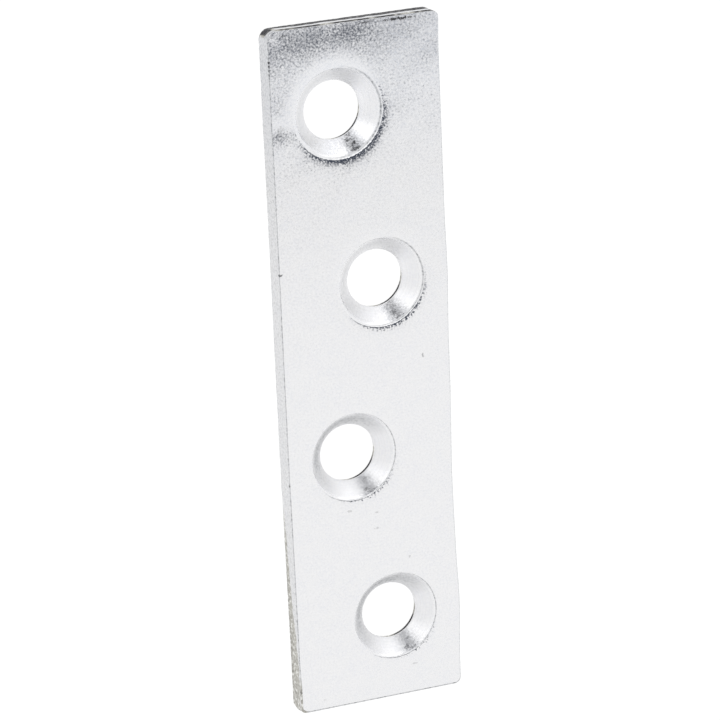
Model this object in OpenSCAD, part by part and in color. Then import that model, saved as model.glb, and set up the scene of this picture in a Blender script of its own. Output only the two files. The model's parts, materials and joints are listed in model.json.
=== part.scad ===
// Flat mending plate of zinc-plated steel, cut from strip, with a zig-zag row of
// countersunk screw holes. It joins two pieces of wood that lie side by side.
//
// The plate lies on its back with the countersinks up. The strip's length runs along +Y
// and the sheet's thickness along +Z, from the back face at Z = 0. The origin is at the
// middle of the back face.

/* [Strip] */
// Length of the plate, end to end
plate_len = 60; // [58:1:90]
// Width of the strip between its straight edges
plate_w = 15; // [15:0.5:20]
// Thickness of the sheet
sheet_t = 2; // [1.8:0.1:2.2]
// Radius of the corner at the upper left, beside the first hole
corner_upper_left = 0.9; // [0.6:0.1:1.5]
// Radius of the corner at the upper right
corner_upper_right = 1.2; // [0.6:0.1:1.5]
// Radius of the corner at the lower left
corner_lower_left = 0.9; // [0.6:0.1:1.5]
// Radius of the corner at the lower right, beside the last hole
corner_lower_right = 0.6; // [0.6:0.1:1.5]

/* [Screw holes] */
// Number of screw holes, in a row centred on the plate's length
hole_count = 4; // [2:1:4]
// Distance along the plate from one hole's centre to the next
hole_pitch = 15; // [12:0.5:15.5]
// Distance of each hole's centre from the centreline, to the left and right in turn
hole_stagger = 1.6; // [0:0.1:1.8]
// Diameter of the straight hole under the countersink
hole_d = 5; // [4.5:0.1:5.2]
// Included angle of the countersink
sink_angle = 82; // [78:1:90]
// Height of the straight hole that is left under the countersink
land_h = 0.45; // [0.35:0.05:0.7]
// Radius of the rounding where the countersink meets the face
rim_r = 0.5; // [0.2:0.1:0.6]

/* [Sheared edge] */
// Radius that the shears draw down along the front of the cut
roll_r = 0.3; // [0.15:0.05:0.4]
// Height of the rough break that starts at the back face
break_h = 0.9; // [0.6:0.1:1.2]
// How far the break leans in at the back face
break_lean = 0.08; // [0.02:0.02:0.14]
// Size of the blunted edges on the back face
back_blunt = 0.08; // [0.04:0.02:0.12]

/* [Bulged sides] */
// Length of strip edge that the pressing of one countersink pushes outward
bulge_len = 8; // [6:0.5:8]
// Height of the bulge beside each hole, from the first hole to the last
bulge_h = [0.05, 0.15, 0.08, 0.25]; // [0.02:0.01:0.4]

/* [Hidden] */
$fn = 96;

hole_r = hole_d / 2;
sink_r = hole_r + (sheet_t - land_h) * tan(sink_angle / 2);
rim_slope = 90 - sink_angle / 2;        // angle between the countersink's wall and the face
rim_run = rim_r * tan(rim_slope / 2);   // from the sharp rim to either end of its rounding
over = 1;                               // how far each hole's cutter runs past both faces
edge_reach = 0.6;                       // width of the worked edge, no wider than the least corner
middle_inset = 0.45;                    // how far the flat middle stays inside the outline
bulge_overlap = 0.5;                    // degrees that a bulge runs on under the straight edge

// The sides and corners are counted counterclockwise, from the right side and the corner where
// it starts. Even sides are long.
corner_r = [corner_lower_right, corner_upper_right, corner_upper_left, corner_lower_left];
function side_len(i) = i % 2 == 0 ? plate_len : plate_w;
function side_out(i) = (i % 2 == 0 ? plate_w : plate_len) / 2;
function quarter_turned(p, quarters) =
    quarters == 0 ? p : quarter_turned([-p[1], p[0]], quarters - 1);

// Centre of hole i, counted from the upper end. Even holes lie left of the centreline.
function hole_at(i) = [
    (i % 2 == 0 ? -1 : 1) * hole_stagger,
    ((hole_count - 1) / 2 - i) * hole_pitch
];

// Section of the sheared edge, from its outermost x inward: y points up. The front edge is
// drawn down in a round roll, the cut is upright below it, then breaks and leans in to the back.
module edge_section(outermost, reach) {
    difference() {
        polygon([
            [outermost - reach, 0],
            [outermost - break_lean - back_blunt, 0],
            [outermost - break_lean * (1 - back_blunt / break_h), back_blunt],
            [outermost, break_h],
            [outermost, sheet_t],
            [outermost - reach, sheet_t]
        ]);
        translate([outermost - roll_r, sheet_t - roll_r])
            difference() {
                square(roll_r + over);
                circle(roll_r);
            }
    }
}

// The edge along a straight of this length, from the origin towards +Y with the outside on +X
module straight_edge(length) {
    translate([0, length, 0])
        rotate([90, 0, 0])
            linear_extrude(length)
                edge_section(0, edge_reach);
}

// The edge round a corner whose centre is the origin, from +X to +Y
module corner(r) {
    rotate_extrude(angle = 90)
        edge_section(r, r);
}

// One side of the outline, centred on the origin, and the corner at its far end
module side(length, near_corner, far_corner) {
    translate([0, near_corner - length / 2, 0])
        straight_edge(length - near_corner - far_corner);
    translate([-far_corner, length / 2 - far_corner, 0])
        corner(far_corner);
}

// The edge bulged outward beside a hole: an arc that dips under the straight edge at both ends
module bulge(h) {
    half = bulge_len / 2;
    r = (half * half + h * h) / (2 * h);
    turn = asin(half / r) + bulge_overlap;
    translate([h - r, 0, 0])
        rotate([0, 0, -turn])
            rotate_extrude(angle = 2 * turn)
                edge_section(r, edge_reach);
}

module worked_edge() {
    for (i = [0 : 3])
        rotate([0, 0, 90 * i])
            translate([side_out(i), 0, 0])
                side(side_len(i), corner_r[i], corner_r[(i + 1) % 4]);
    for (i = [0 : hole_count - 1])
        translate([0, hole_at(i)[1], 0])
            rotate([0, 0, i % 2 == 0 ? 180 : 0])
                translate([side_out(0), 0, 0])
                    bulge(bulge_h[i]);
}

// The flat middle of the strip, which reaches under the worked edge and cuts across each corner
module flat_middle() {
    linear_extrude(sheet_t)
        polygon([
            for (i = [0 : 3])
                let (x = side_out(i) - middle_inset, half = side_len(i) / 2)
                each [
                    quarter_turned([x, corner_r[i] - half], i),
                    quarter_turned([x, half - corner_r[(i + 1) % 4]], i)
                ]
        ]);
}

// The space that one screw takes: the hole, its blunted back edge, and the countersink, whose
// rim is rounded by a circle that is tangent to both the cone and the face
module screw_space() {
    rotate_extrude()
        difference() {
            polygon([
                [0, -over],
                [hole_r + back_blunt + over, -over],
                [hole_r, back_blunt],
                [hole_r, land_h],
                [sink_r - rim_run * cos(rim_slope), sheet_t - rim_run * sin(rim_slope)],
                [sink_r + rim_run, sheet_t],
                [sink_r + rim_run, sheet_t + over],
                [0, sheet_t + over]
            ]);
            translate([sink_r + rim_run, sheet_t - rim_r])
                circle(rim_r);
        }
}

module plate() {
    color("gainsboro")
        difference() {
            union() {
                flat_middle();
                worked_edge();
            }
            for (i = [0 : hole_count - 1])
                translate(hole_at(i))
                    screw_space();
        }
}

plate();
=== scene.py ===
import json

import bpy
import numpy as np
from mathutils import Matrix, Vector


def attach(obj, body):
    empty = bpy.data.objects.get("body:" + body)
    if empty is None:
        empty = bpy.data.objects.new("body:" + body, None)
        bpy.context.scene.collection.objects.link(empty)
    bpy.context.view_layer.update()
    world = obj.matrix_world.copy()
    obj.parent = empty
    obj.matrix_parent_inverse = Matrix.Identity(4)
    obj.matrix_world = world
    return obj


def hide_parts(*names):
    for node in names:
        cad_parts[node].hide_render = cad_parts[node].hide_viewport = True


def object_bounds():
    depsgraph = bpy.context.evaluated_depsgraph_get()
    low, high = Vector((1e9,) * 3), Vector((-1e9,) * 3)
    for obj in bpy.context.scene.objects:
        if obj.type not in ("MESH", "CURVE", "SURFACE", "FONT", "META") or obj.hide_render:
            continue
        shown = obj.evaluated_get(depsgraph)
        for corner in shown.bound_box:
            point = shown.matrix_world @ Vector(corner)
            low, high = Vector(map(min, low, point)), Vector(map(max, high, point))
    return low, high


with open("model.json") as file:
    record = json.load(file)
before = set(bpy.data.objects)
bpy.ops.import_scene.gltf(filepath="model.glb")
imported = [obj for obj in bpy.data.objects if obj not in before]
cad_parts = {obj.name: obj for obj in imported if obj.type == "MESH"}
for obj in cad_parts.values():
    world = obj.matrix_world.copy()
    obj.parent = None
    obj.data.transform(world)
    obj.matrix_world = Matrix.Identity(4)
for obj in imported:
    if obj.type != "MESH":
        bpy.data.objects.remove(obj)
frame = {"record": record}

cad_low, cad_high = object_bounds()
mm = 0.001

# The blank. Cold-rolled steel strip is sheared into short lengths and the corners are nipped
# round. The shears leave the ends a little out of square, and pressing each countersink pushes
# the nearest long side outward.

thickness = cad_high.z - cad_low.z
half_length = cad_high.y
half_width = 7.5 * mm
hole_centres = [mount["pos_m"][:2] for mount in frame["record"]["mounts"] if mount["kind"] == "bore"]
hole_pitch = hole_centres[0][1] - hole_centres[1][1]
hole_count = len(hole_centres)

# corner radii
upper_right, upper_left, lower_left, lower_right = 0.65 * mm, 0.9 * mm, 0.5 * mm, 0.6 * mm
wider_above, wider_below = 0.15 * mm, 0.07 * mm   # how far the right side stands out at its ends
wider_left = 0.05 * mm                            # how far the left side does at its upper end
# height and half length of the bulge beside each hole, from the upper one down
bulges = [(0.02 * mm, 4 * mm), (0.1 * mm, 6 * mm), (0.02 * mm, 4 * mm), (0.15 * mm, 5.5 * mm)]
# depth or height, half length and middle of three slow curves
hollow = (0.12 * mm, 8.5 * mm, -10.5 * mm)        # in the right side, opposite the third hole
bow = (0.06 * mm, 22 * mm, -6 * mm)               # on the left side
flare = (0.08 * mm, 3.5 * mm, half_length)        # on the right side, at its upper corner
skew = 0.06 * mm                                  # how much higher the lower end is at its left
skew_reach = 2 * mm
pitch_steps = 104                                 # steps of the outline along one hole pitch


def sheared_outline():
    """The blank's outline and its outward normals, from the right side one pitch below the upper
    end, counterclockwise. A wheel touches the outline from inside. Its centre, its radius and
    the angle at which it touches all change evenly from one end of a corner to the other and
    from one corner to the next, so that a corner is an arc and a side is straight."""
    right_above, right_below = half_width + wider_above, half_width + wider_below
    left_above, left_below = -half_width - wider_left, -half_width
    first, last = half_length - hole_pitch, hole_pitch - half_length
    wheels = np.array([
        # centre x, centre y, radius, angle, length run since the last wheel
        [right_above - upper_right, first, upper_right, 0, 0],
        [right_above - upper_right, half_length - upper_right, upper_right, 0,
         hole_pitch - upper_right],
        [right_above - upper_right, half_length - upper_right, upper_right, 90,
         upper_right * np.pi / 2],
        [left_above + upper_left, half_length - upper_left, upper_left, 90,
         right_above - left_above - upper_right - upper_left],
        [left_above + upper_left, half_length - upper_left, upper_left, 180, upper_left * np.pi / 2],
        [left_above + upper_left, first, upper_left, 180, hole_pitch - upper_left],
        [left_below + lower_left, last, lower_left, 180, first - last],
        [left_below + lower_left, lower_left - half_length, lower_left, 180, hole_pitch - lower_left],
        [left_below + lower_left, lower_left - half_length, lower_left, 270, lower_left * np.pi / 2],
        [right_below - lower_right, lower_right - half_length, lower_right, 270,
         right_below - left_below - lower_left - lower_right],
        [right_below - lower_right, lower_right - half_length, lower_right, 360,
         lower_right * np.pi / 2],
        [right_below - lower_right, last, lower_right, 360, hole_pitch - lower_right],
        [right_above - upper_right, first, upper_right, 360, first - last],
    ])
    run = np.cumsum(wheels[:, 4])
    # in units of pitch_steps: three round the upper end, two down the left side, three round the
    # lower end and two up the right side
    stations = np.array([0, 3, 5, 8, 10]) * pitch_steps
    along = np.interp(np.arange(10 * pitch_steps), stations, run[[0, 5, 6, 11, 12]])
    x, y, radius, angle = (np.interp(along, run, wheels[:, column]) for column in range(4))
    normal = np.stack([np.cos(np.radians(angle)), np.sin(np.radians(angle))], axis=1)
    return np.stack([x, y], axis=1) + radius[:, None] * normal, normal


def pushed_out(outline, normal):
    """The outline moved by the presses and the shears: each bulge, the hollow, the left side's bow
    and the upper right corner's flare are squared cosines along y, and the lower end rises evenly
    from right to left. The flare also grows with the eighth power of x. Nothing stands out past
    the solid's box."""
    x, y = outline.T
    on_right, on_left = normal[:, 0] > 0.99, normal[:, 0] < -0.99
    moved = outline.copy()

    def swollen(height, half, middle):
        """A squared cosine: its height in the middle, and nothing half its length away."""
        return height * np.cos(np.clip(np.abs(y - middle) / half, 0, 1) * np.pi / 2) ** 2

    for (hole_x, hole_y), (height, half) in zip(hole_centres, bulges):
        moved[:, 0] += swollen(height, half, hole_y) * (on_right if hole_x > 0 else -1.0 * on_left)
    moved[:, 0] -= swollen(*hollow) * on_right + swollen(*bow) * on_left
    moved[:, 0] += swollen(*flare) * np.clip(x / half_width, 0, 1) ** 8
    near_lower_end = np.clip(1 - (y + half_length) / skew_reach, 0, 1)
    moved[:, 1] += skew * near_lower_end * (0.5 - x / (2 * half_width))
    moved[:, 0] = np.clip(moved[:, 0], cad_low.x, cad_high.x)
    return moved


outline, normal = sheared_outline()
outline = pushed_out(outline, normal)

# The sheared edge. The upper blade first draws the face down in a small roll, then cuts a smooth
# upright band, and the rest of the thickness breaks off rough and leans in to the back. On the
# left side the break is almost nothing at first and takes the whole height by the lower corner.

worked = 0.38 * mm                                # how far in the edge's own rows reach
break_relief = 0.035 * mm                         # depth of the break's roughness


def waves(position, lengths, count, seed):
    """A smooth random field: the mean of many cosine waves, scaled to a spread of about one, whose
    directions, phases and wavelengths (between the two lengths) come from a seeded generator."""
    draw = np.random.default_rng(seed)
    way = draw.normal(size=(position.shape[1], count))
    way /= np.linalg.norm(way, axis=0)
    wavelength = np.exp(draw.uniform(np.log(lengths[0]), np.log(lengths[1]), count))
    phase = draw.uniform(0, 2 * np.pi, count)
    wave = np.cos(2 * np.pi * (position @ (way / wavelength)) + phase)
    return wave.mean(axis=1) * np.sqrt(count / 2)


def by_side(right, upper, left, lower):
    """One value at each point of the outline from a value for each side. A corner goes with the
    end, and its value turns evenly into the side's as the normal turns from 35 to 5 degrees."""
    share = np.clip((np.abs(normal[:, 1]) - 0.09) / 0.48, 0, 1)
    return ((1 - share) * np.where(normal[:, 0] > 0, right, left)
            + share * np.where(normal[:, 1] > 0, upper, lower))


def sheared_edge():
    """The rows of the edge, from the face round to the back. A row has, for each point of the
    outline, how far in it lies, its height, how far it is torn (0 to 1) and how dull it is. Both
    also paint shade: dark grey where dull, and near-black where torn deepest. The roll is a quarter
    of an ellipse. The break leans in evenly and bellies out in half a sine at the lower left corner,
    and its relief is two sets of random waves, cut off so that it only goes inward. The upright
    band is torn too at the upper left corner, and is painted dark there as shade."""
    x, y = outline.T
    zero = np.zeros_like(x)
    # 0 to 1 towards the lower left corner, and along the upper end towards its left corner
    low_left = by_side(0, 0, np.clip((-25.5 - y / mm) / 2, 0, 1), np.clip((-6.6 - x / mm) / 0.5, 0, 1))
    at_corner = np.clip((-6.3 - x / mm) / 0.6, 0, 1)

    # how far in the roll starts and how deep it draws the face down
    roll = (by_side(0.12, 0.03, 0.08, 0.16) + 0.08 * low_left) * mm
    drop = by_side(0.12, 0.05, 0.08, 0.15) * mm

    # the height at which the upright band turns into the break
    left_top = np.interp(y / mm, [-28, -26, -24.5, -23, -20, -16, -12, -10],
                         [1.88, 1.87, 1.75, 1.55, 1.0, 0.65, 0.4, 0.1])
    upper_top = np.interp(x / mm, [-7.4, -6.8, -5.5], [0.7, 0.85, 1.0])
    lower_top = np.interp(x / mm, [-6.9, -5.5], [1.85, 0.9])
    unsteady = by_side(0.1, 0.1, 0.06 + 0.16 * np.clip(left_top - 0.4, 0, 1), 0.1)
    wander = waves(outline, (0.5 * mm, 4 * mm), 40, 11)
    top = (by_side(0.9, upper_top, left_top, lower_top) + unsteady * wander) * mm
    top = np.clip(top, 0.08 * mm, thickness - drop - 0.04 * mm)

    # how far the break leans in and bellies out, and the blunted back edge
    lean = by_side(0.08, 0.05 - 0.03 * x / half_width, 0.02, 0.03) * mm
    belly = 0.14 * mm * (2 * np.clip(normal[:, 0], -1, 0) * np.clip(normal[:, 1], -1, 0)) ** 3
    blunt = by_side(0.08, 0.04, 0.04, 0.04) * mm

    # how dull the roll, its foot and the upright band are, and how far each part is torn. Dullness
    # also paints dark grey shade, and tears past 0.55, at the upper end, are painted near-black as
    # shade
    left_dull_and_shaded = np.interp(y / mm, [20, 26], [1.4, 1.7]) * (1 - 0.7 * low_left)
    left_cut = np.interp(y / mm, [10, 27], [0.55, 0.78])
    roll_dull_and_shaded = by_side(0.5, 0.3, left_dull_and_shaded, 1.3)
    foot_dull_and_shaded = by_side(0.5, 1, left_cut, 1.3)
    cut_dull_and_shaded = by_side(0.1, 0.25, left_cut, 0.1)
    foot_torn_and_shaded = by_side(0, 0.85 - 0.7 * at_corner, 0, 0) * np.clip(0.9 + 0.4 * wander, 0, 1)
    cut_torn_and_shaded = by_side(0, 0.8 * at_corner, 0, 0)
    break_torn_and_shaded = by_side(0.5, 1, np.clip(left_top - 0.1, 0, 0.5), 0.5)

    # the face beside the roll
    rows = [(roll + (worked - roll) * share, zero + thickness, zero, zero)
            for share in (1, 0.7, 0.4, 0.15, 0.04)]

    # the roll
    for angle in (0, 16, 32, 48, 64, 78, 90):
        share = np.clip(angle / 30 - 1, 0, 1)
        inward = roll * (1 - np.sin(np.radians(angle)))
        height = thickness - drop * (1 - np.cos(np.radians(angle)))
        tear = np.maximum(0.45 * low_left, foot_torn_and_shaded * share)
        rows.append((inward, height, tear, roll_dull_and_shaded + (foot_dull_and_shaded - roll_dull_and_shaded) * share))

    # the upright band, whose upper half is as dull and torn as the roll's foot, and is painted as dark
    for share in (0.01, 0.5):
        height = (thickness - drop) * (1 - share) + top * share
        rows.append((zero, height, foot_torn_and_shaded, foot_dull_and_shaded))
    for share in (0.56, 0.6, 0.94):
        height = (thickness - drop) * (1 - share) + top * share
        rows.append((zero, height, cut_torn_and_shaded, cut_dull_and_shaded))

    # the break, whose lumps are about three times as tall as they are wide
    for share in (0, 0.14, 0.28, 0.42, 0.56, 0.7, 0.85, 1):
        height = top + (blunt - top) * share
        place = np.column_stack([outline, 0.35 * height])
        relief = waves(place, (0.15 * mm, 0.6 * mm), 120, 23)
        relief += 0.5 * waves(place, (0.6 * mm, 3 * mm), 40, 29)
        rough = by_side(1, 0.6, 1, 1) * break_relief * np.clip(relief + 0.8, 0, 2)
        rough *= np.clip(top / (0.5 * mm), 0, 1) * min(1, 5 * share, 4.5 - 4 * share)
        rows.append((lean * share - belly * np.sin(np.pi * share) + rough, height, break_torn_and_shaded, zero))

    # the blunted back edge, and the back beside it
    inset = rows[-1][0]
    rows.append((inset + 0.6 * blunt, 0.25 * blunt, break_torn_and_shaded, zero))
    rows.append((inset + 0.8 * blunt, zero, zero, zero))
    rows.append((zero + worked, zero, zero, zero))
    return np.array(rows).transpose(1, 0, 2)


inset, height, torn_and_shaded, dull_and_shaded = sheared_edge()
edge = np.zeros((*inset.shape, 5))                # x, y, z, how torn, how dull, both also painting shade
edge[..., :2] = outline - inset[..., None] * normal
edge[..., 2], edge[..., 3], edge[..., 4] = height, torn_and_shaded, dull_and_shaded

# The countersunk holes. Each is pierced from the face, so that it breaks out a little wider at
# the back, and its countersink is then pressed to 82 degrees, which leaves the rim's edge round.

hole_radius = 2.5 * mm
breakout = 0.04 * mm                              # how much wider the hole is at the back
sink_half_angle = np.radians(41)
land_height = 0.45 * mm                           # where the countersink ends
tear_height = 0.41 * mm                           # where the piercing's smooth band ends
tear_step = 0.02 * mm                             # height over which it turns into the break
rim_radii = [0.5 * mm, 0.4 * mm, 0.25 * mm, 0.25 * mm]  # from the upper hole down
hole_blunt = 0.05 * mm
throat_shift = np.array([0.03 * mm, -0.06 * mm])  # how far the throat lies off the rim's centre
sink_radius = hole_radius + (thickness - land_height) * np.tan(sink_half_angle)
rim_turn = np.pi / 2 - sink_half_angle
rim_runs = [rim_radius * np.tan(rim_turn / 2) for rim_radius in rim_radii]
rim_rows, land_rows = 9, 5
cone_rows = np.array([0.12, 0.3, 0.5, 0.7, 0.88, 0.98, 1])  # how far down the cone each row lies
# bearings, in degrees, at which the throat is scuffed, the land torn and the rim dulled the most,
# and at which each is also painted darkest as shade, the rim's as a grey line
scuffed_and_shaded_towards, torn_and_shaded_towards, dulled_and_shaded_towards = 130, -50, -10
scuffs_and_shade = [0.3, 0.35, 1.0, 1.1]                    # of each throat, from the upper hole down


def hole_section(rim_radius, rim_run):
    """Radii and heights of the rows from the face down through one hole to its back edge, how far
    each is shifted with the throat, how torn it is, and how dull at the rim and at the throat. The
    tear and the dullness also paint shade, the rim's as a thin grey line. The rows follow the rim's
    arc, then the cone in a straight line, then the land."""
    turn = np.linspace(0, 1, rim_rows) * rim_turn
    arc_radii = sink_radius + rim_run - rim_radius * np.sin(turn)
    arc_heights = thickness - rim_radius * (1 - np.cos(turn))
    cone_radii = arc_radii[-1] + (hole_radius - arc_radii[-1]) * cone_rows
    cone_heights = arc_heights[-1] + (land_height - arc_heights[-1]) * cone_rows
    back_radius = hole_radius + breakout
    radii = [*arc_radii, *cone_radii, hole_radius, hole_radius,
             back_radius, back_radius + 0.3 * hole_blunt, back_radius + hole_blunt]
    heights = [*arc_heights, *cone_heights, tear_height, tear_height - tear_step,
               hole_blunt, 0.3 * hole_blunt, 0]
    no_rim, no_cone, no_land = np.zeros(rim_rows), np.zeros(len(cone_rows)), np.zeros(land_rows)
    shift = [*no_rim, *cone_rows, *(no_land + 1)]
    tear = [*no_rim, *no_cone, 0, 0.9, 0.9, 0.9, 0]
    rim_dull_and_shaded = [0, 0, 0.1, 0.7, 1.5, 1.5, 0.7, 0.1, 0, *no_cone, *no_land]
    throat_dull_and_shaded = [*no_rim, 0.45, 0.85, 1, 0.85, 0.55, 0.3, 0.2, *no_land]
    return np.array([radii, heights, shift, tear, rim_dull_and_shaded, throat_dull_and_shaded])


sections = [hole_section(*rim) for rim in zip(rim_radii, rim_runs)]
face_steps = 1 - (1 - np.linspace(0, 1, 15)[1:-1]) ** 1.6  # closer together by the rim
back_steps = np.linspace(0, 1, 6)[1:-1]


def borders(edge_row):
    """The border points of the four cells on the face or the back, each counterclockwise, made of
    stretches of the edge's innermost row and of straight seams between the long sides."""
    seams = []
    share = np.linspace(0, 1, pitch_steps + 1)[:, None]
    for seam in range(1, hole_count):
        left = edge_row[(2 + seam) * pitch_steps]
        right = edge_row[(1 - seam) * pitch_steps % len(edge_row)]
        seams.append(left * (1 - share) + right * share)
    closed = np.concatenate([edge_row, edge_row[:1]])
    stretch = [closed[start * pitch_steps:(start + 1) * pitch_steps] for start in range(10)]
    return [
        np.concatenate([*stretch[:3], seams[0][:-1]]),
        np.concatenate([stretch[9], seams[0][:0:-1], stretch[3], seams[1][:-1]]),
        np.concatenate([stretch[8], seams[1][:0:-1], stretch[4], seams[2][:-1]]),
        np.concatenate([seams[2][:0:-1], *stretch[5:8]]),
    ]


def towards(bearing, worst, lift):
    """The cosine of the angle between a bearing and the worst one, raised by the lift and cut off
    at 0 and 1."""
    return np.clip(lift + np.cos(bearing - np.radians(worst)), 0, 1)


def cell(centre, section, face_border, back_border, scuff_and_shade):
    """The rings of one cell: every border point is joined straight towards the hole's centre line,
    down the hole's section at that bearing, and out again to the border on the back. The throat's
    scuffing, the land's tear and the rim's dullness fade with the cosine of the bearing, and so does
    the shade painted with each."""
    radii, heights, shift, tear, rim_dull_and_shaded, throat_dull_and_shaded = section[:, :, None]
    bearing = np.arctan2(*(face_border[:, :2] - centre).T[::-1])
    ray = np.stack([np.cos(bearing), np.sin(bearing)], axis=1)
    hole = np.zeros((section.shape[1], len(ray), 5))
    hole[..., :2] = centre + radii[..., None] * ray + shift[..., None] * throat_shift
    hole[..., 2] = heights
    hole[..., 3] = tear * towards(bearing, torn_and_shaded_towards, 0) ** 2
    hole[..., 4] = (rim_dull_and_shaded * towards(bearing, dulled_and_shaded_towards, 0.2)
                    + scuff_and_shade * throat_dull_and_shaded * towards(bearing, scuffed_and_shaded_towards, 0.3))
    outer = face_border + face_steps[:, None, None] * (hole[0] - face_border)
    back = hole[-1] + back_steps[:, None, None] * (back_border - hole[-1])
    return np.concatenate([face_border[None], outer, hole, back, back_border[None]])


grids = [edge[::-1]]
for centre, *rest in zip(hole_centres, sections, borders(edge[0]), borders(edge[-1]), scuffs_and_shade):
    grids.append(cell(np.array(centre), *rest))

# The plate. Edge and holes are one closed shell. The face sinks where the presses and the shears
# draw the metal with them: round each rim, along the upper end, and in slow waves elsewhere.

# round each rim, from the upper hole down: how deep the face sinks, and how much more where the
# metal is drawn the most, which is at this bearing, in degrees, and fades over this spread
sunk_at_rim = np.array([0.023, 0.019, 0.019, 0.018]) * mm
sunk_more = np.array([0, 0.005, 0.004, 0.005]) * mm
drawn_towards = np.array([-65, -65, -57, -55])
drawn_spread = np.array([120, 70, 70, 80])
rim_reach = 0.36 * mm
# along the upper end, except for a share of it at its left corner, so far in from both sides
droop_reach = 1.55 * mm
spared, spared_inset, spared_reach = 0.9, 0.3 * mm, 0.7 * mm
# the dent's depth, its middle, and its reach along x and y
dent = 0.014 * mm
dent_x, dent_y = -7 * mm, 21.6 * mm
dent_reach_x, dent_reach_y = 1.5 * mm, 0.8 * mm
wave_depth = 0.003 * mm
least_drawn = 0.15                                # how strongly the metal is drawn at the least
least_gap = 1e-5 * mm                             # points closer than this are one


def joined(grids):
    """One closed shell from grids of closed rows: equal points become one vertex, and each quad
    joins two neighbours in one row to the same two in the next, in the order that makes it face
    outward."""
    vertices = np.concatenate([grid.reshape(-1, 5) for grid in grids])
    quads, start = [], 0
    for grid in grids:
        number = start + np.arange(grid[..., 0].size).reshape(grid.shape[:2])
        ahead = np.roll(number, -1, axis=1)
        quad = np.stack([number[:-1], ahead[:-1], ahead[1:], number[1:]], axis=-1)
        quads.append(quad.reshape(-1, 4))
        start += number.size
    tidy = np.round(vertices[:, :3] / least_gap).astype(np.int64)
    _, first, same = np.unique(tidy, axis=0, return_index=True, return_inverse=True)
    return vertices[first], same.reshape(-1)[np.concatenate(quads)]


def round_the_rims(x, y):
    """For each point the nearest hole, how far it lies beyond that hole's countersink, and how
    strongly the metal is drawn at that bearing: a squared cosine of the angle from the worst."""
    away = np.stack([x, y], axis=1)[:, None] - np.array(hole_centres)
    nearest = np.argmin(np.hypot(*away.T), axis=0)
    along_x, along_y = away[np.arange(len(away)), nearest].T
    aside = (np.degrees(np.arctan2(along_y, along_x)) - drawn_towards[nearest] + 180) % 360 - 180
    share = np.cos(np.clip(np.abs(aside) / drawn_spread[nearest], 0, 1) * np.pi / 2) ** 2
    return nearest, np.hypot(along_x, along_y) - sink_radius, share


def face_drop(x, y):
    """How far the face lies below the strip's full thickness. The drop decays exponentially away
    from each rim, and as a bell curve away from the upper end, where its depth varies from left to
    right. One shallow dent, also a bell curve, lies at the left edge beside the first hole, and
    slow random waves cover the whole face."""
    from_end = half_length - y
    droop = np.interp(x / mm, [-7.5, -6, -4.2, -2.6, -1, 0.6, 2.6, 7.5],
                      [0.012, 0.013, 0.0155, 0.0145, 0.0265, 0.020, 0.005, 0.001]) * mm
    drop = droop * np.exp(-(from_end / droop_reach) ** 2)
    from_corner = np.hypot(x + half_width - spared_inset, from_end - spared_inset)
    drop *= 1 - spared * np.exp(-(from_corner / spared_reach) ** 2)
    drop += dent * np.exp(-((x - dent_x) / dent_reach_x) ** 2 - ((y - dent_y) / dent_reach_y) ** 2)
    nearest, beyond, share = round_the_rims(x, y)
    depth = sunk_at_rim[nearest] + sunk_more[nearest] * share
    drop += depth * np.exp(-np.maximum(beyond - np.array(rim_runs)[nearest], 0) / rim_reach)
    swell = waves(np.column_stack([x, y]), (3 * mm, 9 * mm), 30, 5)
    return drop + wave_depth * np.clip(swell + 1, 0, 2)


vertices, quads = joined(grids)
points = vertices[:, :3]
points[:, 2] *= 1 - face_drop(points[:, 0], points[:, 1]) / thickness

shell = bpy.data.meshes.new("mending_plate")
shell.from_pydata(points.tolist(), [], quads.tolist())
shell.polygons.foreach_set("use_smooth", np.ones(len(shell.polygons), bool))

# how strongly the metal is drawn, on the countersinks' walls and on the face round them
_, beyond, share = round_the_rims(points[:, 0], points[:, 1])
on_wall = least_drawn + (1 - least_drawn) * share ** 3
on_face = (least_drawn + (1 - least_drawn) * share) * np.interp(beyond / mm, [0.2, 0.6], [1, 0])
drawn = np.where(beyond < 0, on_wall, on_face)
for name, values in (("torn_and_shaded", vertices[:, 3]), ("dull_and_shaded", vertices[:, 4]), ("drawn", drawn),
                     ("from_centre", (beyond + sink_radius) / mm)):
    attribute = shell.attributes.new(name, "FLOAT", "POINT")
    attribute.data.foreach_set("value", values.astype(np.float32))

plate = bpy.data.objects.new("mending_plate_zinc", shell)
bpy.context.scene.collection.objects.link(plate)

# The zinc. The finished plate is bright zinc plated all over: a fine grainy satin on the face,
# softer in the pressed countersinks, dull on the drawn edges, and grey-brown on the torn steel
# where little zinc has taken. Painted shade darkens the drawn edges, the rims, the throats and the
# deepest tears, and paints the nicks, the scores and the dent's shadow. A grey tint, bluish
# towards the upper end, darkens the face up the plate, and handling has left specks.

cool_zinc = (0.846, 0.852, 0.878, 1)
pale_zinc = (0.869, 0.871, 0.884, 1)
spangle_zinc = (0.898, 0.896, 0.902, 1)
ring_grey = (0.5, 0.5, 0.5, 1)
tint_below, tint_above = (0.26, 0.26, 0.255, 1), (0.15, 0.25, 0.41, 1)
dull_shade_grey = (0.25, 0.26, 0.27, 1)
steel_brown, steel_dark = (0.50, 0.49, 0.45, 1), (0.34, 0.33, 0.30, 1)
steel_bright, steel_grey = (0.80, 0.80, 0.77, 1), (0.3, 0.3, 0.3, 1)
# near-black, used for dirt and for the painted shade of the nicks, the scores, the dent and deep tears
dark_dirt_and_shade = (0.05, 0.05, 0.055, 1)
rings_per_mm = 6
face_roughness = 0.11
mark_half_height = 0.2                            # of every mark, in millimetres

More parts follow.
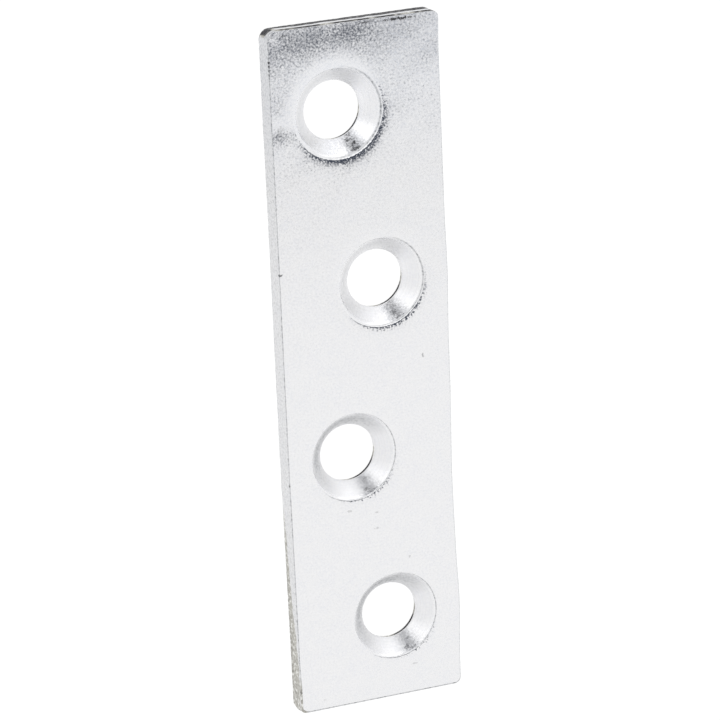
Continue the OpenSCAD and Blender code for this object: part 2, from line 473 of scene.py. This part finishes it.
zinc = bpy.data.materials.new("bright_zinc")
zinc.use_nodes = True
nodes, links = zinc.node_tree.nodes, zinc.node_tree.links
metal = nodes["Principled BSDF"]
metal.inputs["Metallic"].default_value = 1
place = nodes.new("ShaderNodeTexCoord").outputs["Object"]
along = nodes.new("ShaderNodeSeparateXYZ")
links.new(place, along.inputs[0])


def feed(socket, value):
    """Links an output to this input, or writes a plain number or colour on it."""
    if isinstance(value, bpy.types.NodeSocket):
        links.new(value, socket)
    else:
        socket.default_value = value


def sums(operation, first, second):
    """One step of arithmetic on two values."""
    step = nodes.new("ShaderNodeMath")
    step.operation = operation
    feed(step.inputs[0], first)
    feed(step.inputs[1], second)
    return step.outputs[0]


def ramped(value, low, high, start=0.0, end=1.0):
    """The start value up to the low mark, the end value from the high one, and smooth between."""
    step = nodes.new("ShaderNodeMapRange")
    step.interpolation_type = "SMOOTHSTEP"
    feed(step.inputs["Value"], value)
    for name, number in (("From Min", low), ("From Max", high), ("To Min", start), ("To Max", end)):
        step.inputs[name].default_value = number
    return step.outputs["Result"]


def blended(share, first, second):
    """The first colour where the share is 0, the second where it is 1."""
    blend = nodes.new("ShaderNodeMix")
    blend.data_type = "RGBA"
    feed(blend.inputs["Factor"], share)
    feed(blend.inputs["A"], first)
    feed(blend.inputs["B"], second)
    return blend.outputs["Result"]


def mottle(size, detail):
    """A random field whose grains are about this wide."""
    noise = nodes.new("ShaderNodeTexNoise")
    noise.inputs["Scale"].default_value = 1 / size
    noise.inputs["Detail"].default_value = detail
    links.new(place, noise.inputs["Vector"])
    return noise


def mesh_value(name):
    """The value that the shell's points hold under this name."""
    attribute = nodes.new("ShaderNodeAttribute")
    attribute.attribute_name = name
    return attribute.outputs["Fac"]


grain = mottle(0.17 * mm, 2)
patches = mottle(1.1 * mm, 2).outputs[0]
flecks = mottle(0.2 * mm, 2).outputs[0]
spangle = mottle(0.17 * mm, 1).outputs[0]
chips = mottle(0.3 * mm, 3).outputs[0]
torn_and_shaded = mesh_value("torn_and_shaded")
dull_and_shaded = mesh_value("dull_and_shaded")
drawn = mesh_value("drawn")
from_centre = mesh_value("from_centre")           # of the nearest hole, in millimetres
in_sink = ramped(from_centre, sink_radius / mm - 0.3, sink_radius / mm + 0.05, 1, 0)
at_upper_end = ramped(along.outputs["Y"], 23 * mm, 28 * mm)
rubbed = sums("MULTIPLY", at_upper_end, ramped(along.outputs["X"], 0, 4 * mm))

# the plating, in cool and pale patches under its own fine spangle
colour = blended(ramped(patches, 0.35, 0.65), cool_zinc, pale_zinc)
colour = blended(ramped(spangle, 0.25, 0.75), colour, spangle_zinc)

# faint turning rings in the countersinks
rings = nodes.new("ShaderNodeTexNoise")
rings.noise_dimensions = "1D"
rings.inputs["Scale"].default_value = rings_per_mm
links.new(from_centre, rings.inputs["W"])
turned = sums("MULTIPLY", in_sink, ramped(rings.outputs[0], 0.42, 0.6, 0, 0.075))
colour = blended(turned, colour, ring_grey)

# a grey tint that grows up the plate, bluish at the upper end and strongest at its right corner,
# which is rubbed smooth
tint_share = ramped(along.outputs["Y"], 0, 20 * mm, 0.06, 0.15)
tint_share = sums("ADD", tint_share, sums("MULTIPLY", rubbed, 0.1))
tint_share = sums("MULTIPLY", tint_share, ramped(in_sink, 0, 1, 1, 0.3))
tint = blended(ramped(along.outputs["Y"], 16 * mm, 24 * mm), tint_below, tint_above)
colour = blended(sums("MULTIPLY", tint_share, ramped(flecks, 0.25, 0.6, 1, 0.3)), colour, tint)

# the drawn edges, dull and painted with dark grey shade, as are the rims and the throats; and the
# torn steel, which is brown, then painted near-black as shade where torn deepest: along the upper
# end, and low in each hole on its lower right side
colour = blended(sums("MULTIPLY", dull_and_shaded, ramped(flecks, 0.25, 0.6, 0.7, 0.3)), colour, dull_shade_grey)
tear = blended(ramped(chips, 0.35, 0.5, 1, 0), steel_brown, steel_dark)
tear = blended(ramped(chips, 0.55, 0.62), tear, steel_bright)
tear = blended(ramped(torn_and_shaded, 0.55, 0.8), tear, blended(ramped(chips, 0.5, 0.7), dark_dirt_and_shade, steel_grey))
colour = blended(ramped(torn_and_shaded, 0.15, 0.5), colour, tear)


def marked(colour, centre, half_size, shade):
    """The colour with one ragged mark on it, darkest in its middle: an oval whose half width and
    half length are given. The centre and the size are in millimetres."""
    away = nodes.new("ShaderNodeVectorMath")
    away.operation = "SUBTRACT"
    links.new(place, away.inputs[0])
    away.inputs[1].default_value = Vector(centre) * mm
    share = nodes.new("ShaderNodeVectorMath")
    share.operation = "DIVIDE"
    links.new(away.outputs["Vector"], share.inputs[0])
    share.inputs[1].default_value = Vector((*half_size, mark_half_height)) * mm
    length = nodes.new("ShaderNodeVectorMath")
    length.operation = "LENGTH"
    links.new(share.outputs["Vector"], length.inputs[0])
    ragged = sums("ADD", length.outputs["Value"], ramped(flecks, 0.3, 0.7, 0.45, -0.45))
    return blended(ramped(ragged, 0.3, 1, shade, 0), colour, dark_dirt_and_shade)


# each mark's centre, half size and shade. The nicks, the scores and the dent's mark are painted
# shade, and the chatter is partly painted shade
# painted shade of nicks, which have no dent in the mesh
edge_nick_shade = [                                    # in the left edge, from the upper end down
    ((-7.50, 27.46, 1.98), (0.13, 0.13), 0.95), ((-7.50, 27.12, 1.98), (0.13, 0.13), 0.95),
    ((-7.50, 26.78, 1.98), (0.13, 0.13), 0.95), ((-7.50, 26.40, 1.98), (0.12, 0.15), 0.6),
    ((-7.45, 9.40, 1.98), (0.25, 0.13), 0.85), ((-7.55, -9.10, 1.98), (0.13, 0.13), 0.7),
    ((-7.55, -21.40, 1.98), (0.14, 0.2), 0.7), ((-7.48, -28.05, 1.98), (0.16, 0.25), 0.7),
]
# painted shade of scores and dents along the upper end
end_score_shade = [
    ((4.0, 29.72, 2), (1.6, 0.16), 0.95), ((1.2, 29.78, 2), (0.8, 0.1), 0.7),
    ((-6.2, 29.55, 2), (0.25, 0.12), 0.6),
]
# specks; the last one is the painted shade of the dent beside the first hole
face_specks_and_dent_shade = [
    ((5.12, 0.47, 2), (0.14, 0.2), 0.45), ((-2.20, -12.30, 2), (0.3, 0.13), 0.25),
    ((0.29, -12.84, 2), (0.2, 0.14), 0.25), ((0.22, -14.28, 2), (0.3, 0.13), 0.22),
    ((3.17, -17.39, 2), (0.15, 0.15), 0.25), ((3.20, -27.31, 2), (0.35, 0.1), 0.22),
    ((-5.3, -29.0, 2), (0.2, 0.13), 0.12), ((-6.8, 21.6, 2), (0.4, 0.6), 0.2),
]
# chatter marks, partly painted shade that darkens the countersinks' drawn patches
sink_chatter_and_shade = [                                  # from the upper hole down
    ((-0.42, 19.85, 0.9), (0.45, 0.4), 0.5), ((-0.28, 19.54, 1.3), (0.45, 0.4), 0.65),
    ((-0.14, 19.23, 1.7), (0.45, 0.4), 0.55), ((2.81, 4.50, 1.3), (0.4, 0.35), 0.4),
    ((-0.42, -10.73, 1.54), (0.35, 0.3), 0.45), ((-0.27, -10.01, 0.84), (0.3, 0.3), 0.35),
    ((2.72, -25.75, 1.54), (0.35, 0.3), 0.5), ((3.03, -25.18, 1.07), (0.3, 0.3), 0.3),
]
for mark in [*edge_nick_shade, *end_score_shade, *face_specks_and_dent_shade, *sink_chatter_and_shade]:
    colour = marked(colour, *mark)
links.new(colour, metal.inputs["Base Color"])

# rougher in the countersinks, the more so from the upper one down, and where torn or dull
softer_below = ramped(along.outputs["Y"], -8 * mm, 20 * mm, 0.08, -0.02)
sink_roughness = sums("ADD", ramped(drawn, 0.15, 1, 0.18, 0.1), softer_below)
roughness = sums("ADD", face_roughness, sums("MULTIPLY", in_sink, sink_roughness))
roughness = sums("ADD", roughness, sums("MULTIPLY", torn_and_shaded, 0.45))
roughness = sums("ADD", roughness, sums("MULTIPLY", dull_and_shaded, 0.25))
links.new(roughness, metal.inputs["Roughness"])

# the grain tilts the surface at random, the more so where the metal is drawn or torn
tilt = nodes.new("ShaderNodeVectorMath")
tilt.operation = "SUBTRACT"
links.new(grain.outputs["Color"], tilt.inputs[0])
tilt.inputs[1].default_value = (0.5, 0.5, 0.5)
tilt_size = sums("ADD", sums("MULTIPLY", drawn, 0.27), sums("MULTIPLY", torn_and_shaded, 0.6))
tilt_size = sums("ADD", tilt_size, ramped(patches, 0.3, 0.7, 0.05, 0.07))
tilt_size = sums("ADD", tilt_size, sums("MULTIPLY", in_sink, 0.03))
tilt_size = sums("MULTIPLY", tilt_size, ramped(rubbed, 0, 1, 1, 0.72))
scaled = nodes.new("ShaderNodeVectorMath")
scaled.operation = "SCALE"
links.new(tilt.outputs["Vector"], scaled.inputs[0])
links.new(tilt_size, scaled.inputs["Scale"])
surface = nodes.new("ShaderNodeNewGeometry")
grained = nodes.new("ShaderNodeVectorMath")
grained.operation = "ADD"
links.new(surface.outputs["Normal"], grained.inputs[0])
links.new(scaled.outputs["Vector"], grained.inputs[1])
unit = nodes.new("ShaderNodeVectorMath")
unit.operation = "NORMALIZE"
links.new(grained.outputs["Vector"], unit.inputs[0])
links.new(unit.outputs["Vector"], metal.inputs["Normal"])
shell.materials.append(zinc)

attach(plate, "root")
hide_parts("plate")

# The table. A wide white sheet just under the plate's back, lit from within like a light table,
# so bright that the plate's shadow hardly shows.

table_half = 3.0
table_level = -0.01 * mm
glow_strength = 1.1
glow_seen, glow_mirrored = 0.86, 0.75             # share of the glow, the rest is matt white
matt_white = (0.9, 0.9, 0.9, 1)

sheet = bpy.data.meshes.new("table")
corners = [(-1, -1), (1, -1), (1, 1), (-1, 1)]
corners = [(x * table_half, y * table_half, table_level) for x, y in corners]
sheet.from_pydata(corners, [], [(0, 1, 2, 3)])
table = bpy.data.objects.new("table", sheet)
bpy.context.scene.collection.objects.link(table)
paper = bpy.data.materials.new("white_paper")
paper.use_nodes = True
nodes, links = paper.node_tree.nodes, paper.node_tree.links
nodes.clear()
finish = nodes.new("ShaderNodeOutputMaterial")
glow = nodes.new("ShaderNodeEmission")
glow.inputs["Strength"].default_value = glow_strength
matt = nodes.new("ShaderNodeBsdfDiffuse")
matt.inputs["Color"].default_value = matt_white
path = nodes.new("ShaderNodeLightPath")
lit = sums("MAXIMUM", sums("MULTIPLY", path.outputs["Is Camera Ray"], glow_seen),
           sums("MULTIPLY", path.outputs["Is Glossy Ray"], glow_mirrored))
mix = nodes.new("ShaderNodeMixShader")
links.new(lit, mix.inputs[0])
links.new(matt.outputs[0], mix.inputs[1])
links.new(glow.outputs[0], mix.inputs[2])
links.new(mix.outputs[0], finish.inputs[0])
sheet.materials.append(paper)

# The light tent. White cloth on every side, brighter beyond the plate's upper end, both low down
# and overhead. A short gap in it, nearly overhead, is dark, and a pale stand with a dark middle
# is low beyond the upper end.

white, brighter = (1, 1, 1, 1), (1.5, 1.5, 1.5, 1)
gap_blue = (0.052, 0.063, 0.09, 1)
stand_towards = (-0.217, 0.929, 0.301)
stand_pale, stand_dark = (0.73, 0.74, 0.76, 1), (0.1, 0.102, 0.11, 1)

world = bpy.data.worlds.new("light_tent")
bpy.context.scene.world = world
world.use_nodes = True
nodes, links = world.node_tree.nodes, world.node_tree.links
way = nodes.new("ShaderNodeTexCoord")


def along_way(direction):
    """The cosine of the angle between the way looked and this direction."""
    dot = nodes.new("ShaderNodeVectorMath")
    dot.operation = "DOT_PRODUCT"
    dot.inputs[1].default_value = Vector(direction).normalized()
    links.new(way.outputs["Generated"], dot.inputs[0])
    return dot.outputs["Value"]


def within(direction, outer, inner):
    """A round patch of the tent about this direction: 0 beyond the outer angle from it, in degrees,
    1 within the inner one, and smooth between."""
    return ramped(along_way(direction), np.cos(np.radians(outer)), np.cos(np.radians(inner)))


def band(value, begins, opens, closes, ends):
    """Rises from 0 to 1 between the first two marks and falls to 0 between the last two."""
    return sums("MULTIPLY", ramped(value, begins, opens), ramped(value, closes, ends, 1, 0))


across = along_way((-0.375, 0.927, 0))
sideways = along_way((0.927, 0.375, 0))
upward = along_way((0, 0, 1))
gap = sums("MULTIPLY", band(across, -0.350, -0.315, -0.10, -0.02), band(sideways, 0, 0.15, 0.36, 0.5))
gap = sums("MULTIPLY", gap, ramped(upward, 0.2, 0.3))
panel = sums("MAXIMUM", ramped(upward, 0.28, 0.42, 1, 0.1), ramped(upward, 0.75, 0.95))
panel = sums("MULTIPLY", panel, within((-0.1, 0.85, 0.5), 68, 40))
colour = blended(panel, white, brighter)
colour = blended(gap, colour, gap_blue)
colour = blended(within(stand_towards, 28, 12), colour, stand_pale)
colour = blended(within(stand_towards, 11, 4), colour, stand_dark)
colour = blended(nodes.new("ShaderNodeLightPath").outputs["Is Camera Ray"], colour, white)
links.new(colour, nodes["Background"].inputs["Color"])

# The camera. It looks down on the plate from beyond its upper left corner.

standpoint = (-0.114366, 0.097656, 0.282073)
# the camera's own right, its up and the way behind it
right = Vector((0.92052, -0.04238, 0.38838))
up = Vector((0.15572, 0.95152, -0.26525))
back = Vector((-0.35831, 0.30465, 0.8825))

camera = bpy.data.cameras.new("camera")
camera.lens = 188.65
camera.sensor_width = 36
viewer = bpy.data.objects.new("camera", camera)
turn = Matrix((right, up, back)).transposed()
viewer.matrix_world = Matrix.Translation(standpoint) @ turn.to_4x4()
bpy.context.scene.collection.objects.link(viewer)
bpy.context.scene.camera = viewer
bpy.context.scene.view_settings.view_transform = "Standard"
